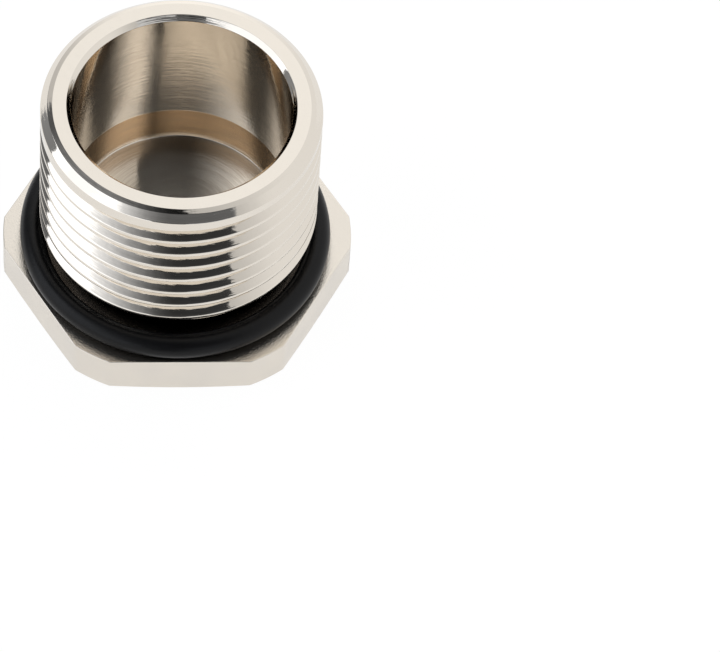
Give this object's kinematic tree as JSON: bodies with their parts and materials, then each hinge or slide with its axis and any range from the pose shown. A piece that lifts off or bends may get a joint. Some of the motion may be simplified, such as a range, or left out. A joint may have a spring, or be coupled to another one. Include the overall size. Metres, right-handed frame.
{
  "type": "stopping plug",
  "caption": "Nickel-plated brass stopping plug: flat hexagon head, threaded hollow shank open at its end, and a rubber sealing ring under the head.",
  "frame": {"origin": "centre of the head's flat outer face, which is the lowest face of the part", "axes": "+Z along the axis of the thread from the head to the open end; +X through two corners of the hexagon; +Y square to two of its flats"},
  "size_m": [0.0252, 0.0231, 0.0182],
  "materials": {
    "nickel_plate": "bright nickel plate over turned brass, satin on the head and in the bore",
    "black_rubber": "smooth black moulded rubber"
  },
  "bodies": {
    "root": {"plug_body": "nickel_plate", "o_ring": "black_rubber"}
  },
  "joints": []
}
